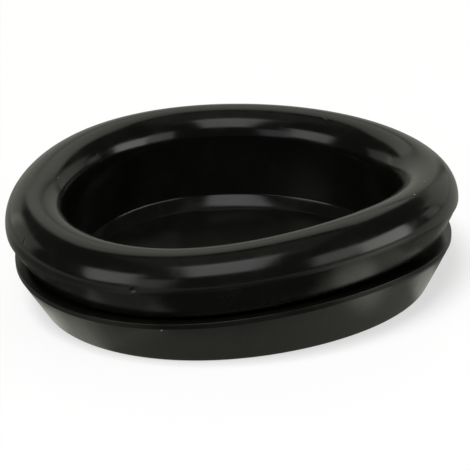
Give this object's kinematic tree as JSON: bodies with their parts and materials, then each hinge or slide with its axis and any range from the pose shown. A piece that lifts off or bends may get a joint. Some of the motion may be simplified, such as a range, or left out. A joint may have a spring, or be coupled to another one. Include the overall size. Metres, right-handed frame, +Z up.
{
  "type": "closed rubber grommet",
  "caption": "Round closed rubber grommet: a rolled bead over a panel groove, a tapered lip that pushes through the hole, and a well with a thin floor that seals it.",
  "frame": {"origin": "middle of the flat underside, where the grommet rests", "axes": "+Z up the axis of the grommet, from the underside to the crown of the bead; X and Y lie in the plane of the underside, and the part is the same all the way round"},
  "size_m": [0.04, 0.04, 0.011],
  "materials": {
    "rubber": "smooth gloss, moulded"
  },
  "bodies": {
    "root": {"grommet": "rubber"}
  },
  "joints": []
}
